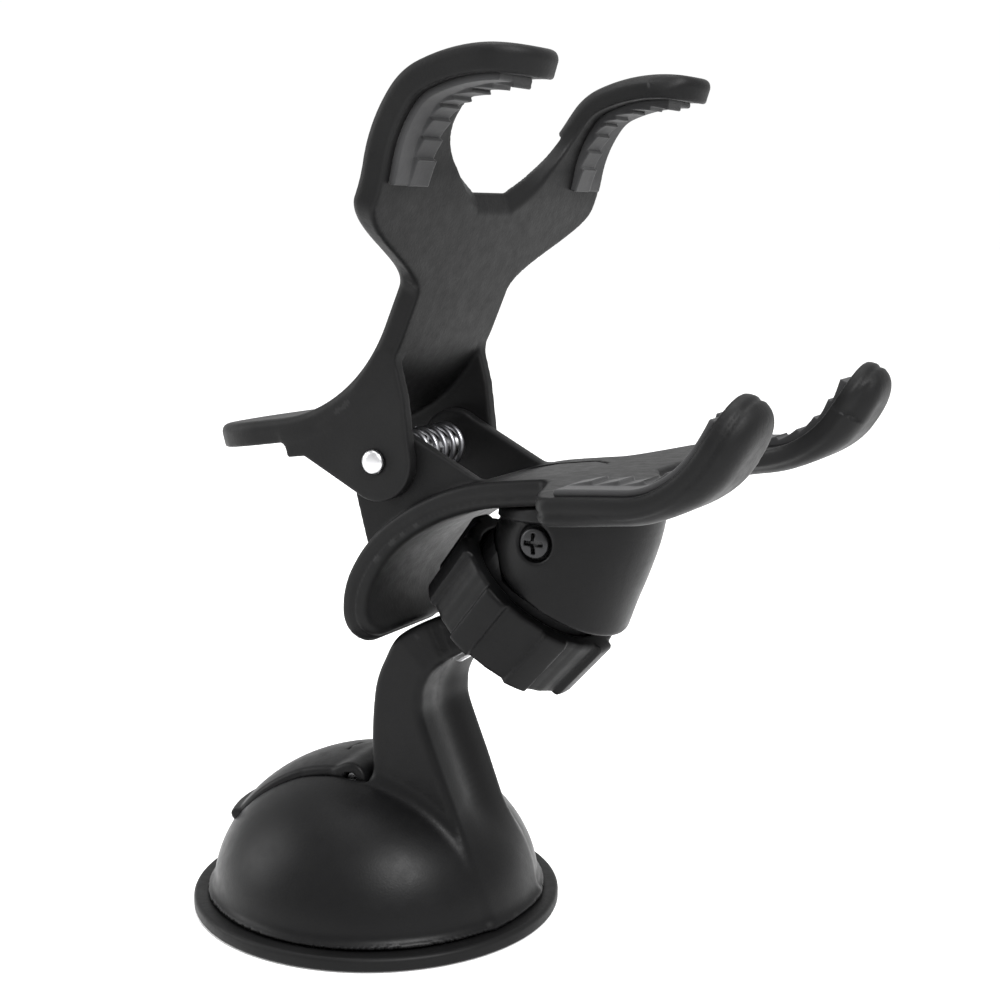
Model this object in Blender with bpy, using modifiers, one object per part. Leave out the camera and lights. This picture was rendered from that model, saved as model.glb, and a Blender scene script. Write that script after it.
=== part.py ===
"""Car phone mount: suction foot with a lever, ball-jointed head and a spring clip with two forked jaws.

The origin is the middle of the suction cup's underside. +Z is up, +X is the way the jaws point,
and the clip's hinge pin lies along Y. The object mirrors across the plane Y = 0.
Every size below is in millimetres and is turned into metres where a shape is made.
"""
from math import atan2, cos, pi, radians, sin, sqrt

import bmesh
import bpy
from mathutils import Matrix, Vector

MM = 0.001
GAP = 0.3                       # air left between pieces that touch
ROUND = 40                      # segments round the large turned pieces
FINE = 20                       # segments round small turned pieces

# Suction foot
CUP_RADIUS = 34.0
CUP_RIM = 2.5
COVER_FOOT = 2.8                # height of the cover's lower edge
COVER_A, COVER_B = 30.3, 24.4   # half axes of the cover's outer ellipsoid
COVER_WALL = 2.2
ARM_HALF = 9.2
LEVER_A, LEVER_B = 30.3, 25.6   # half axes of the lever's outer skin
LEVER_WALL = 2.3
LEVER_PIVOT = (0.3, 25.2)       # x, z of the lever pin
LEVER_HUB = 3.1
LEVER_TIP_Z = 14.6
LEVER_PIN_R = 1.0
POST_R = 2.3
PLATE_Z = (9.0, 11.0)           # lower and upper face of the guide plate
BOSS_RING, BOSS_TOP = 19.5, 17.2
BOSS_ANGLES = [radians(a) for a in (0, 120, 240)]

# Ball joint. The stud follows the arm's end, the head follows the lock nut's axis.
BALL = (30.6, 59.8)             # x, z of the ball's centre
BALL_R = 7.0
STUD_TILT = 57.0                # degrees of the stud from +Z towards +X
HEAD_TILT = 39.3                # degrees of the nut's axis from +Z towards +X
NUT_LOW, NUT_HIGH = -6.9, 5.7   # stations along the head axis from the ball's centre
NUT_R_LOW, NUT_R_HIGH = 14.8, 15.5
NUT_RIB = 1.0
NUT_RIBS = 8
RIB_PHASE = -1.5                # azimuth of the first rib in degrees
SCREW_X, SCREW_Z = 39.4, 73.5   # axis of the two screws that hold the head shell

# Rings of the head shell from its mouth up: centre x, z, lean in degrees, half sizes along and across.
SHELL_RINGS = [((37.7, 63.2), 31.5, 13.2, 13.2), ((38.8, 66.6), 23.0, 13.1, 13.5),
               ((40.0, 70.6), 14.0, 13.6, 13.9), ((41.2, 74.4), 4.0, 14.0, 14.0),
               ((42.0, 77.4), -4.0, 14.0, 13.9)]
SHELL_FLANGE = 0.8

# Clip
PIN = (9.9, 84.9)               # x, z of the hinge pin
PIN_R = 1.5
UPPER_T, LOWER_T = 4.3, 4.5      # thickness of the jaw plates
TIP_SWELL = 1.3                 # extra thickness of the lower fingers
WAIST = 15.7                    # half width of handles and waists
SPREAD = 38.0                   # half width across the fingers
FINGER_IN = 22.0                # inner side of each finger
TIP_R = (SPREAD - FINGER_IN) / 2
NOTCH_FLOOR = 5.5               # half width of the notch's floor
NOTCH_FLARE = 18.0              # length over which the notch widens to the fingers
EAR_OUT = (13.1, 15.7)          # upper ears, distance from the middle plane
EAR_IN = (10.5, 12.8)           # lower ears
PAD_IN, PAD_OUT = 25.6, 36.0    # sides of the rubber pads
COIL_R, WIRE_R, COIL_TURNS, COIL_PITCH = 4.1, 0.6, 6, 2.9

# Back line of the upper jaw and top line of the lower jaw, from handle to finger tip:
# a start point, a heading in degrees from +X, then (length, turn to the left in degrees).
UPPER_START, UPPER_HEADING = (-29.47, 87.85), 9.0
UPPER_STEPS = [(19.84, 0.0), (22.66, 46.6), (6.0, 11.6), (22.7, 0.0),
               (5.4, 12.4), (12.0, -27.6), (5.8, -30.1), (21.4, -40.0)]
LOWER_START, LOWER_HEADING = (5.0, 51.5), 124.1
LOWER_STEPS = [(3.9, -20.1), (10.5, -40.2), (11.5, -25.0), (23.3, -30.7),
               (32.3, -4.3), (5.3, 24.6), (8.4, 28.0), (11.0, 16.5)]
PAN_DEPTH = 1.7                 # hollow in the back of the upper palm

# Distances along those lines: where the width starts and stops growing, the notch's floor
# and the middle of the round finger tip.
UPPER_WIDEN, UPPER_NOTCH, UPPER_TIP = (55.3, 71.3), 70.7, 105.2
LOWER_WIDEN, LOWER_NOTCH, LOWER_TIP = (57.5, 70.0), 74.2, 96.6
UPPER_NOSE, LOWER_NOSE = 14.5, 7.0


# ---------------------------------------------------------------- helpers

def clear_scene():
    for old in list(bpy.data.objects):
        bpy.data.objects.remove(old, do_unlink=True)


def collection(name):
    found = bpy.data.collections.new(name)
    bpy.context.scene.collection.children.link(found)
    return found


def material(name, colour, roughness, metallic=0.0):
    made = bpy.data.materials.new(name)
    made.use_nodes = True
    shader = made.node_tree.nodes["Principled BSDF"]
    shader.inputs["Base Color"].default_value = (*colour, 1.0)
    shader.inputs["Roughness"].default_value = roughness
    shader.inputs["Metallic"].default_value = metallic
    return made


def as_part(obj, name, mat):
    """Turn a shape into a named piece of the mount."""
    obj.name = obj.data.name = name
    obj.data.materials.clear()
    obj.data.materials.append(mat)
    for owner in list(obj.users_collection):
        owner.objects.unlink(obj)
    PARTS.objects.link(obj)
    obj.hide_render = False
    obj.display_type = "TEXTURED"
    obj.data.shade_smooth()
    obj.data.set_sharp_from_angle(angle=radians(35))
    return obj


def tool(name, mesh, matrix=None):
    """A shape used to cut or join; it is hidden until as_part makes it a piece."""
    obj = bpy.data.objects.new(name, mesh)
    TOOLS.objects.link(obj)
    obj.hide_render = True
    obj.display_type = "WIRE"
    if matrix is not None:
        obj.matrix_world = matrix
    return obj


def combine(target, other, how):
    step = target.modifiers.new(how.lower() + "_" + other.name, "BOOLEAN")
    step.operation = how
    step.object = other
    step.solver = "EXACT"
    return target


def mesh_from(name, build):
    mesh = bpy.data.meshes.new(name)
    bm = bmesh.new()
    build(bm)
    bmesh.ops.recalc_face_normals(bm, faces=bm.faces)
    bm.to_mesh(mesh)
    bm.free()
    return mesh


def loft(name, rings):
    """A closed solid through rings of equal count, capped at both ends."""
    def build(bm):
        loops = [[bm.verts.new(Vector(p) * MM) for p in ring] for ring in rings]
        count = len(loops[0])
        for low, high in zip(loops, loops[1:]):
            for i in range(count):
                j = (i + 1) % count
                bm.faces.new((low[i], low[j], high[j], high[i]))
        bm.faces.new(loops[0][::-1])
        bm.faces.new(loops[-1])
    return tool(name, mesh_from(name, build))


def box(name, low, high):
    def build(bm):
        size = [(h - l) * MM for l, h in zip(low, high)]
        middle = [(h + l) / 2 * MM for l, h in zip(low, high)]
        bmesh.ops.create_cube(bm, size=1.0)
        bmesh.ops.scale(bm, vec=size, verts=bm.verts)
        bmesh.ops.translate(bm, vec=middle, verts=bm.verts)
    return tool(name, mesh_from(name, build))


def rod(name, radius, start, end, segments=FINE):
    """A cylinder between two points."""
    start, end = Vector(start) * MM, Vector(end) * MM
    along = end - start

    def build(bm):
        bmesh.ops.create_cone(bm, cap_ends=True, segments=segments, radius1=radius * MM,
                              radius2=radius * MM, depth=along.length)
    frame = Matrix.Translation((start + end) / 2) @ along.to_track_quat("Z", "Y").to_matrix().to_4x4()
    return tool(name, mesh_from(name, build), frame)


def turned(name, profile, segments=ROUND, matrix=None):
    """A solid of revolution about local Z; the profile runs down its outer side."""
    mesh = bpy.data.meshes.new(name)
    closed = profile[0] == profile[-1]
    points = [(x * MM, 0.0, z * MM) for x, z in (profile[:-1] if closed else profile)]
    edges = [(i, i + 1) for i in range(len(points) - 1)]
    mesh.from_pydata(points, edges + ([(len(points) - 1, 0)] if closed else []), [])
    obj = tool(name, mesh, matrix)
    screw = obj.modifiers.new("turn", "SCREW")
    screw.steps = screw.render_steps = segments
    screw.use_merge_vertices = True
    screw.merge_threshold = 0.00001
    return obj


def prism(name, outline, low, high):
    """An outline in x, z drawn out along Y from low to high."""
    def build(bm):
        near = [bm.verts.new((x * MM, low * MM, z * MM)) for x, z in outline]
        face = bm.faces.new(near)
        grown = bmesh.ops.extrude_face_region(bm, geom=[face])
        moved = [v for v in grown["geom"] if isinstance(v, bmesh.types.BMVert)]
        bmesh.ops.translate(bm, vec=(0, (high - low) * MM, 0), verts=moved)
    return tool(name, mesh_from(name, build))


def arc(centre, radius, start, end, steps):
    """Points in x, z on an arc given in degrees."""
    angles = [radians(start + (end - start) * i / steps) for i in range(steps + 1)]
    return [(centre[0] + radius * cos(a), centre[1] + radius * sin(a)) for a in angles]


def dome_profile(a, b, foot, steps):
    """Outer side of the cover's ellipsoid from its top down to the foot."""
    angles = [pi / 2 * i / steps for i in range(steps + 1)]
    return [(a * sin(t), foot + b * cos(t)) for t in angles]


def about(point, tilt):
    """A frame at x, z whose Z axis leans by tilt degrees from +Z towards +X."""
    place = Matrix.Translation((point[0] * MM, 0, point[1] * MM))
    return place @ Matrix.Rotation(radians(tilt), 4, "Y")


def trail(start, heading, steps, spacing=2.6, turn_step=9.0):
    """Stations (x, z, heading in radians, distance) along straight runs and arcs."""
    x, z = start
    angle, distance = radians(heading), 0.0
    stations = [(x, z, angle, distance)]
    for length, turn in steps:
        count = max(1, round(max(length / spacing / 3, abs(turn) / turn_step)))
        for _ in range(count):
            step, bend = length / count, radians(turn) / count
            x += step * cos(angle + bend / 2)
            z += step * sin(angle + bend / 2)
            angle += bend
            distance += step
            stations.append((x, z, angle, distance))
    return stations


def smooth(value, low, high):
    t = min(1.0, max(0.0, (value - low) / (high - low)))
    return t * t * (3 - 2 * t)


# ---------------------------------------------------------------- jaw plates

def across_plate(station, points):
    """Turn (y, depth) pairs into points on the plane that crosses a jaw at a station."""
    x, z, angle, _ = station
    return [(x + sin(angle) * depth, y, z - cos(angle) * depth) for y, depth in points]


def plate_ring(station, half, thick, round_back, grow=0.0):
    """Section across a jaw plate: one long side has rounded edges, the other is crisp."""
    soft, crisp = (1.3, 0.3) if round_back else (1.8, 0.3)
    thick += grow
    corner = [(half - crisp, 0.0), (half, crisp), (half + 0.4, thick - soft)]
    corner += [(half + 0.4 - soft + soft * cos(a), thick - soft + soft * sin(a))
               for a in (radians(45), radians(90))]
    ring = corner + [(-y, n) for y, n in reversed(corner)]
    if round_back:
        ring = [(y, thick - n) for y, n in ring]
    return across_plate(station, ring)


def tip_reach(distance, tip):
    """Half width of a finger at a distance: full, then following its round tip."""
    if distance <= tip:
        return TIP_R
    return sqrt(max(0.0, TIP_R ** 2 - (distance - tip) ** 2))


def half_width(distance, widen, tip, nose):
    """Half width along a jaw: rounded handle end, parallel waist, then the spread to the fingers."""
    width = WAIST + (SPREAD - WAIST) * smooth(distance, *widen)
    if distance < nose:
        width -= nose * (1 - sqrt(max(0.0, 1 - (1 - distance / nose) ** 2)))
    return width - TIP_R + tip_reach(distance, tip)


def notch_half(distance, floor, tip):
    """Half width of the notch between the fingers."""
    t = min(1.0, max(0.0, (distance - floor) / NOTCH_FLARE))
    width = NOTCH_FLOOR + (FINGER_IN - NOTCH_FLOOR) * (1 - (1 - t) ** 2.6)
    return width + TIP_R - tip_reach(distance, tip)


def tip_distances(tip, angles):
    return [tip + TIP_R * sin(radians(a)) for a in angles]


def jaw_plate(name, line, widen, tip, nose, thickness, round_back, grow=0.0):
    end = [nose * t for t in (0.0, 0.04, 0.12, 0.26, 0.5, 0.8)]
    spread = [widen[0] + (widen[1] - widen[0]) * t for t in (0.0, 0.22, 0.42, 0.62, 0.82)]
    middle = [s[3] for s in line if end[-1] + 1.0 < s[3] < tip - 1.5]
    middle = [d for d in middle if all(abs(d - e) > 1.2 for e in spread)]
    rings = []
    for distance in end + sorted(middle + spread) + tip_distances(tip, (0, 20, 38, 54, 68, 80)):
        half = half_width(distance, widen, tip, nose)
        rings.append(plate_ring(along(line, distance), half, thickness(distance), round_back, grow))
    return loft(name, rings)


def fork_cutter(name, line, floor, tip, slope):
    """The notch between two fingers, following the plate.

    slope leans the notch's floor, in mm along the palm for each mm of depth."""
    ends = tip_distances(tip, (10, 29, 46, 61, 74))
    flare = [floor + NOTCH_FLARE * t for t in (0.0, 0.1, 0.2, 0.32, 0.47, 0.65, 0.85, 1.0)]
    count = round((tip - 2.0 - flare[-1]) / 3.0)
    middle = [flare[-1] + (tip - flare[-1]) * i / (count + 1) for i in range(1, count + 1)]
    over = 2.5
    rings = []
    for distance in flare + middle + ends + [ends[-1] + 1.2]:
        half = notch_half(distance, floor, tip)
        lean = slope * (1 - smooth(distance, floor, floor + 12.0))
        near = across_plate(along(line, distance + lean * (UPPER_T + over)), [(-half, -over), (half, -over)])
        far = across_plate(along(line, distance - lean * over), [(half, 6.0 + over), (-half, 6.0 + over)])
        rings.append(near + far)
    return loft(name, rings)


def along(stations, distance):
    """The station at a distance, between two neighbours."""
    for a, b in zip(stations, stations[1:]):
        if a[3] <= distance <= b[3]:
            t = (distance - a[3]) / (b[3] - a[3])
            return tuple(p + (q - p) * t for p, q in zip(a, b))
    return stations[-1]


def pad_strip(name, stations, depth, side):
    """A rubber pad along a finger: a strip with cross bars, proud of the gripping face."""
    low, high = (PAD_IN, PAD_OUT) if side > 0 else (-PAD_OUT, -PAD_IN)
    rings = []
    for index, station in enumerate(stations):
        top = depth + (1.6 if index % 2 else 1.0) * (1 if depth > 0 else -1)
        foot = depth + (GAP if depth > 0 else -GAP)
        ring = [(low, foot), (high, foot), (high, top), (low, top)]
        rings.append(across_plate(station, ring))
    return loft(name, rings)


# ---------------------------------------------------------------- suction foot

def dome_solid(name, a, b, low, steps=12):
    """A solid half ellipsoid above the height low."""
    profile = dome_profile(a, b, COVER_FOOT, steps)
    return turned(name, profile[:-1] + [(a, COVER_FOOT), (a, low), (0.0, low)])


def lever_slot(name, inset, low, front):
    """Wedge that the lever fills: narrow at the pivot and wider at the tip."""
    outline = [(front, 9.8), (-10.0, 10.3), (-34.0, 15.8)]
    outline = [(x, y - inset) for x, y in outline]
    outline += [(x, -y) for x, y in reversed(outline)]
    return loft(name, [[(x, y, z) for x, y in outline] for z in (low, 40.0)])


def arm_solid():
    """The blade that rises from the cover and bends forward to the ball stud."""
    marks = [((9.0, 3.2), (29.3, 3.2), 8.2), ((7.5, 10.3), (25.9, 10.3), 8.4),
             ((6.0, 19.2), (22.9, 19.2), 8.9), ((4.7, 27.1), (19.7, 27.1), ARM_HALF),
             ((4.4, 33.6), (17.0, 33.6), ARM_HALF), ((4.8, 40.1), (15.0, 38.8), ARM_HALF),
             ((5.5, 44.4), (14.8, 41.6), ARM_HALF), ((7.0, 48.1), (15.2, 44.2), ARM_HALF),
             ((9.7, 52.7), (17.0, 47.4), ARM_HALF), ((14.6, 55.5), (19.0, 49.4), 8.8),
             ((18.6, 57.4), (22.0, 51.6), 8.0), ((20.0, 57.9), (23.6, 52.5), 6.4)]
    corners = [(0.0, 0.93), (0.06, 1.0), (0.94, 1.0), (1.0, 0.93)]
    corners += [(u, -v) for u, v in reversed(corners)]
    rings = []
    for (bx, bz), (fx, fz), half in marks:
        rings.append([(bx + (fx - bx) * u, half * v, bz + (fz - bz) * u) for u, v in corners])
    return loft("arm_form", rings)


def make_foot():
    cup = turned("suction_cup", [(0, 6.0), (5.2, 6.0), (6.0, 5.2), (7.0, 2.4), (9.0, 1.8), (28.4, 1.8),
                                 (29.4, CUP_RIM), (CUP_RADIUS - 0.7, CUP_RIM), (CUP_RADIUS, CUP_RIM - 0.7),
                                 (CUP_RADIUS, 0.6), (CUP_RADIUS - 0.5, 0), (0, 0)])
    as_part(cup, "suction_cup", RUBBER)

    cover = dome_solid("base_cover", COVER_A, COVER_B, COVER_FOOT)
    combine(cover, arm_solid(), "UNION")
    combine(cover, dome_solid("cover_hollow", COVER_A - COVER_WALL, COVER_B - COVER_WALL, 1.0), "DIFFERENCE")
    combine(cover, lever_slot("cover_slot", 0.0, LEVER_TIP_Z - 0.4, 4.3), "DIFFERENCE")
    stud_dir = Vector((sin(radians(STUD_TILT)), 0, cos(radians(STUD_TILT))))
    centre = Vector((BALL[0], 0, BALL[1]))
    socket = rod("stud_socket", 3.5 + GAP, centre - stud_dir * 17.5, centre - stud_dir * 5)
    combine(cover, socket, "DIFFERENCE")
    for i, angle in enumerate(BOSS_ANGLES):
        x, y = BOSS_RING * cos(angle), BOSS_RING * sin(angle)
        combine(cover, rod(f"cover_boss_{i}", 3.2, (x, y, PLATE_Z[1] + GAP), (x, y, BOSS_TOP), 20), "UNION")
        combine(cover, rod(f"cover_boss_hole_{i}", 1.3, (x, y, 10), (x, y, 17.6), 16), "DIFFERENCE")
    as_part(cover, "base_cover", BLACK)

    plate = turned("guide_plate", [(2.8, 17.0), (5.0, 17.0), (5.0, PLATE_Z[1]), (25.2, PLATE_Z[1]),
                                   (25.2, PLATE_Z[0]), (2.8, PLATE_Z[0]), (2.8, 17.0)])
    for i, angle in enumerate(BOSS_ANGLES):
        x, y = BOSS_RING * cos(angle), BOSS_RING * sin(angle)
        combine(plate, rod(f"plate_hole_{i}", 1.4, (x, y, 8), (x, y, 12), 16), "DIFFERENCE")
        screw_piece(f"cover_screw_{i + 1}", (x, y, PLATE_Z[0] - GAP), (0, 0, 1), 8.0)
    as_part(plate, "guide_plate", BLACK)

    px, pz = LEVER_PIVOT
    post = turned("pull_post", [(0, 21.6), (POST_R, 21.6), (POST_R, 8.2), (6.2, 8.2), (6.2, 6.3), (0, 6.3)],
                  FINE)
    combine(post, box("post_tongue", (-1.5, -1.8, 20.0), (2.1, 1.8, pz)), "UNION")
    combine(post, rod("post_eye", 2.3, (px, -1.8, pz), (px, 1.8, pz)), "UNION")
    combine(post, rod("post_bore", LEVER_PIN_R + GAP, (px, -4, pz), (px, 4, pz), 20), "DIFFERENCE")
    as_part(post, "pull_post", STEEL)
    as_part(rod("lever_pin", LEVER_PIN_R, (px, -8.8, pz), (px, 8.8, pz), 20), "lever_pin", STEEL)

    lever = dome_solid("suction_lever", LEVER_A, LEVER_B, COVER_FOOT)
    combine(lever, lever_slot("lever_outline", GAP, LEVER_TIP_Z, px), "INTERSECT")
    combine(lever, dome_solid("lever_hollow", LEVER_A - LEVER_WALL, LEVER_B - LEVER_WALL, 1.0), "DIFFERENCE")
    combine(lever, rod("lever_hub", LEVER_HUB, (px, -9.45, pz), (px, 9.45, pz)), "UNION")
    lip = turned("lever_lip", [(r, z) for r, z in reversed(arc((26.2, 15.5), 0.9, 0, 360, 10))])
    combine(lip, lever_slot("lip_outline", GAP, LEVER_TIP_Z, px - 5), "INTERSECT")
    combine(lever, lip, "UNION")
    combine(lever, box("lever_gap", (-5, -2.2, 20), (6, 2.2, pz + 2.6)), "DIFFERENCE")
    combine(lever, rod("lever_bore", LEVER_PIN_R + GAP, (px, -12, pz), (px, 12, pz), 20), "DIFFERENCE")
    as_part(lever, "suction_lever", BLACK)


def screw_piece(name, seat, direction, length, head=2.2, shank=1.0):
    """A cross-recessed screw: its head's underside starts at seat and the shank runs along direction."""
    z = Vector(direction)
    frame = Matrix.Translation(Vector(seat) * MM) @ z.to_track_quat("Z", "Y").to_matrix().to_4x4()
    profile = [(0, length), (shank * 0.3, length), (shank, length - 1.5), (shank, 0.0),
               (head, 0.0), (head, -0.9), (head - 0.5, -1.4), (0, -1.4)]
    piece = turned(name, profile, 20, frame)
    for i, angle in enumerate((0, 90)):
        def build(bm, angle=angle):
            bmesh.ops.create_cube(bm, size=1.0)
            bmesh.ops.scale(bm, vec=(head * 1.15 * MM, 0.5 * MM, 1.6 * MM), verts=bm.verts)
            bmesh.ops.rotate(bm, matrix=Matrix.Rotation(radians(angle), 3, "Z"), verts=bm.verts)
            bmesh.ops.translate(bm, vec=(0, 0, -1.5 * MM), verts=bm.verts)
        cutter = tool(f"{name}_recess_{i}", mesh_from(f"{name}_recess_{i}", build), frame)
        combine(piece, cutter, "DIFFERENCE")
    return as_part(piece, name, DARK_STEEL)


# ---------------------------------------------------------------- ball joint and head

def make_ball_joint():
    stud_dir = Vector((sin(radians(STUD_TILT)), 0, cos(radians(STUD_TILT))))
    centre = Vector((BALL[0], 0, BALL[1]))

    def build(bm):
        bmesh.ops.create_uvsphere(bm, u_segments=24, v_segments=14, radius=BALL_R * MM)
    ball = tool("ball_stud", mesh_from("ball_stud", build), about(BALL, STUD_TILT))
    combine(ball, rod("stud_shank", 3.5, centre - stud_dir * 17.0, centre - stud_dir * 3, 24), "UNION")
    as_part(ball, "ball_stud", STEEL)

    head = about(BALL, HEAD_TILT)
    seat = BALL_R + GAP
    liner_out = seat + 1.9

    def cap(radius, low, high, steps):
        start, end = atan2(high, sqrt(radius ** 2 - high ** 2)), atan2(low, sqrt(radius ** 2 - low ** 2))
        angles = [start + (end - start) * i / steps for i in range(steps + 1)]
        return [(radius * cos(a), radius * sin(a)) for a in angles]

    outer, inner = cap(liner_out, -4.2, 3.1, 5), cap(seat, -4.2, 3.1, 5)
    as_part(turned("socket_liner", outer + inner[::-1] + [outer[0]], 32, head), "socket_liner", NYLON)

    bowl = cap(liner_out + GAP, -4.8, 5.0, 6)
    body = [(9.0, 8.4), (12.3, 8.4), (12.3, -4.0), (11.6, -4.8)]
    collar = turned("threaded_collar", body + bowl[::-1] + body[:1], 32, head)
    combine(collar, loft("shell_clearance", shell_outer(GAP)), "DIFFERENCE")
    as_part(collar, "threaded_collar", BLACK)

    low, high = NUT_LOW, NUT_HIGH
    nut = turned("lock_nut", [(12.8, high), (NUT_R_HIGH - 0.5, high), (NUT_R_HIGH, high - 0.5),
                              (NUT_R_LOW, low + 0.5), (NUT_R_LOW - 0.5, low), (8.7, low), (8.7, low + 1.6),
                              (12.8, low + 1.8), (12.8, high)], ROUND, head)
    for i in range(NUT_RIBS):
        angle = radians(RIB_PHASE) + 2 * pi * i / NUT_RIBS
        ring = []
        for z, radius in ((low + 0.6, NUT_R_LOW), (high - 0.6, NUT_R_HIGH)):
            top = radius + NUT_RIB
            corners = [(radius - 1.0, -2.6), (top, -1.9), (top, 1.9), (radius - 1.0, 2.6)]
            ring.append([(r * cos(angle) - t * sin(angle), r * sin(angle) + t * cos(angle), z)
                         for r, t in corners])
        rib = loft(f"nut_rib_{i}", ring)
        rib.matrix_world = head
        combine(nut, rib, "UNION")
    as_part(nut, "lock_nut", BLACK)


def shell_ring(centre, tilt, rx, ry, count=32):
    tilt = radians(tilt)
    ring = []
    for i in range(count):
        a = 2 * pi * i / count
        u = rx * cos(a)
        ring.append((centre[0] + u * cos(tilt), ry * sin(a), centre[1] - u * sin(tilt)))
    return ring


def shell_outer(grow=0.0):
    rings = [shell_ring(c, t, rx + grow, ry + grow) for c, t, rx, ry in SHELL_RINGS]
    if grow:
        (x, z), tilt, rx, ry = SHELL_RINGS[0]
        low = (x - grow * sin(radians(tilt)), z - grow * cos(radians(tilt)))
        rings.insert(0, shell_ring(low, tilt, rx + grow, ry + grow))
    flange = 14.0 + SHELL_FLANGE + grow
    rings.append(shell_ring((42.0, 77.5), -4.5, flange, flange))
    rings.append(shell_ring((42.2, 81.6), -5.6, flange, flange))
    return rings


def make_head_shell():
    wall = 2.0
    shell = loft("head_shell", shell_outer())
    first, last = SHELL_RINGS[0], SHELL_RINGS[-1]
    inner = [shell_ring((36.9, 61.9), 31.5, first[2] - wall, first[3] - wall)]
    inner += [shell_ring(c, t, rx - wall, ry - wall) for c, t, rx, ry in SHELL_RINGS]
    inner += [shell_ring((42.3, 83.5), -5.6, last[2] - wall, last[3] - wall)]
    combine(shell, loft("shell_hollow", inner), "DIFFERENCE")
    combine(shell, lower_form("shell_top_trim", GAP), "DIFFERENCE")
    for name, side in (("near", -1), ("far", 1)):
        inner, seat, outer = ((SCREW_X, side * y, SCREW_Z) for y in (5.0, 12.6, 20.0))
        combine(shell, rod(f"shell_hole_{name}", 1.4, inner, outer, 16), "DIFFERENCE")
        combine(shell, rod(f"shell_sink_{name}", 3.0, seat, outer, 24), "DIFFERENCE")
        screw_piece(f"shell_screw_{name}", (SCREW_X, side * (12.6 + GAP), SCREW_Z), (0, -side, 0), 8.0, 2.6)
    as_part(shell, "head_shell", BLACK)


# ---------------------------------------------------------------- clip

def lower_form(name, grow=0.0):
    def thickness(distance):
        return LOWER_T + TIP_SWELL * smooth(distance, 80.0, 93.0)
    return jaw_plate(name, LOWER_LINE, LOWER_WIDEN, LOWER_TIP, LOWER_NOSE, thickness, False, grow)


def make_lower_jaw():
    jaw = lower_form("lower_jaw")
    combine(jaw, fork_cutter("lower_fork", LOWER_LINE, LOWER_NOTCH, LOWER_TIP, 0.0), "DIFFERENCE")
    px, pz = PIN
    ear = [(8.2, 68.5), (6.3, 70.2), (4.1, 78.3)] + arc(PIN, 6.4, 205, 52, 12)
    ear += [(28.2, 82.7), (31.5, 82.0), (25.0, 79.0)]
    for name, low, high in (("near", -EAR_IN[1], -EAR_IN[0]), ("far", EAR_IN[0], EAR_IN[1])):
        combine(jaw, prism(f"lower_ear_{name}", ear, low, high), "UNION")
    boss = rod("jaw_boss", 8.6, (SCREW_X + 1, 0, 71.5), (SCREW_X + 1, 0, 82.0), 32)
    combine(jaw, boss, "UNION")
    combine(jaw, rod("boss_bore", 1.3, (SCREW_X, -14, SCREW_Z), (SCREW_X, 14, SCREW_Z), 16), "DIFFERENCE")
    combine(jaw, rod("lower_pin_bore", PIN_R + GAP, (px, -20, pz), (px, 20, pz), 24), "DIFFERENCE")
    combine(jaw, inlay_form("inlay_seat", GAP, 1.3 + GAP), "DIFFERENCE")
    as_part(jaw, "lower_jaw", SATIN)
    as_part(inlay_form("inlay_plate", 0.0, 1.3), "inlay_plate", SATIN)


def inlay_form(name, grow, depth):
    """The thin cover plate let into the palm of the lower jaw."""
    marks = [(43.0, 8.5), (49.0, 9.0), (56.0, 9.0), (60.0, 5.0)]
    marks[0] = (marks[0][0] - grow, marks[0][1])
    marks[-1] = (marks[-1][0] + grow, marks[-1][1])
    rings = []
    for distance, half in marks:
        low, high = (depth, -2.0) if grow else (depth, 0.15)
        ring = [(-half - grow, low), (half + grow, low), (half + grow, high), (-half - grow, high)]
        rings.append(across_plate(along(LOWER_LINE, distance), ring))
    return loft(name, rings)


def palm_hollow():
    """The shallow hollow in the back of the upper jaw, inside a rim along its edges."""
    rings = []
    for distance in (51.3, 57.0, 62.0, 66.3, 70.3, 74.3, 78.3, 82.3):
        half = half_width(distance, UPPER_WIDEN, UPPER_TIP, UPPER_NOSE) - 2.6
        ring = [(-half, -6.0), (half, -6.0), (half, PAN_DEPTH), (-half, PAN_DEPTH)]
        rings.append(across_plate(along(UPPER_LINE, distance), ring))
    return loft("palm_hollow", rings)


def make_upper_jaw():
    jaw = jaw_plate("upper_jaw", UPPER_LINE, UPPER_WIDEN, UPPER_TIP, UPPER_NOSE, lambda distance: UPPER_T, True)
    combine(jaw, palm_hollow(), "DIFFERENCE")
    combine(jaw, fork_cutter("upper_fork", UPPER_LINE, UPPER_NOTCH, UPPER_TIP, 1.1), "DIFFERENCE")
    px, pz = PIN
    ear = [(13.4, 103.6), (15.4, 96.0)] + arc(PIN, 6.9, 14, -124, 12)
    ear += [(-4.8, 84.7), (-8.2, 84.2), (-9.5, 88.2), (-2.0, 89.5), (5.0, 95.0), (10.5, 103.4)]
    for name, low, high in (("near", -EAR_OUT[1], -EAR_OUT[0]), ("far", EAR_OUT[0], EAR_OUT[1])):
        combine(jaw, prism(f"upper_ear_{name}", ear, low, high), "UNION")
    combine(jaw, rod("upper_pin_bore", PIN_R + GAP, (px, -20, pz), (px, 20, pz), 24), "DIFFERENCE")
    as_part(jaw, "upper_jaw", SATIN)


def make_pads():
    upper = [along(UPPER_LINE, 74.3 + 2.6 * i) for i in range(14)]
    lower = [along(LOWER_LINE, 72.0 + 2.4 * i) for i in range(13)]
    for name, side in (("near", -1), ("far", 1)):
        as_part(pad_strip(f"upper_pad_{name}", upper, UPPER_T, side), f"upper_pad_{name}", PAD)
        as_part(pad_strip(f"lower_pad_{name}", lower, 0.0, side), f"lower_pad_{name}", PAD)


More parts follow.
